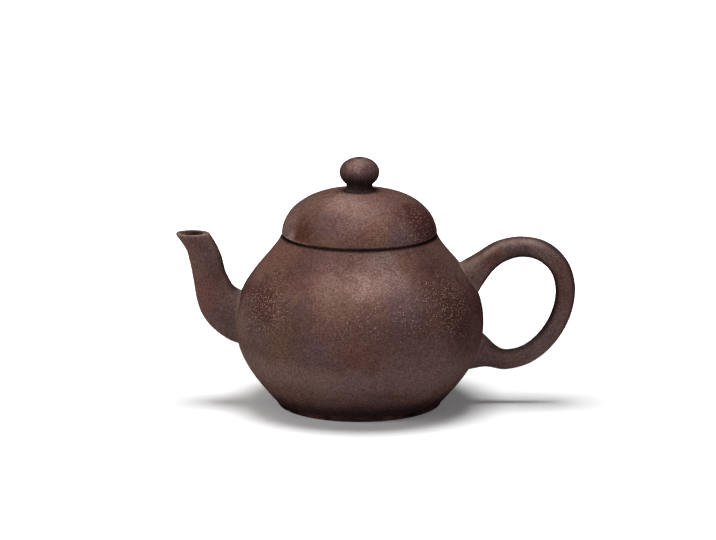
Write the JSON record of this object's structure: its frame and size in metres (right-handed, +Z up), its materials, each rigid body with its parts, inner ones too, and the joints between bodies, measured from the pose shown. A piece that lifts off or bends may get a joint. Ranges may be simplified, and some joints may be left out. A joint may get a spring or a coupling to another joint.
{
  "type": "teapot",
  "caption": "Small pear-shaped unglazed clay teapot with a curved spout, an ear-shaped loop handle, a strainer behind the spout and a loose domed lid with a round knob.",
  "frame": {"origin": "middle of the foot ring, on the plane it stands on, under the axis of the turned body", "axes": "+Z up along the axis of body and lid, +X from the body towards the handle, so the spout is at -X"},
  "size_m": [0.1101, 0.0686, 0.0691],
  "materials": {
    "clay_body": "unglazed purple-brown clay, burnished to a soft sheen, with sand grain and pale specks",
    "clay_lid": "the same clay as the body, a little warmer",
    "clay_foot": "the same clay, darker and less rubbed near the table",
    "clay_inside": "the same clay, matt and unrubbed inside"
  },
  "bodies": {
    "pot": {"body_wall": "clay_body", "base_disc": "clay_inside", "foot_ring": "clay_foot", "mouth_ring": "clay_body", "spout": "clay_body", "strainer": "clay_inside", "handle": "clay_body"},
    "lid": {"lid_dome": "clay_lid", "lid_seat_plate": "clay_inside", "lid_flange": "clay_inside", "knob": "clay_lid"}
  },
  "joints": [
    {"name": "lid_lift", "type": "slide", "parent": "pot", "child": "lid", "axis": [0, 0, 1], "range_m": [0, 0.045]}
  ]
}
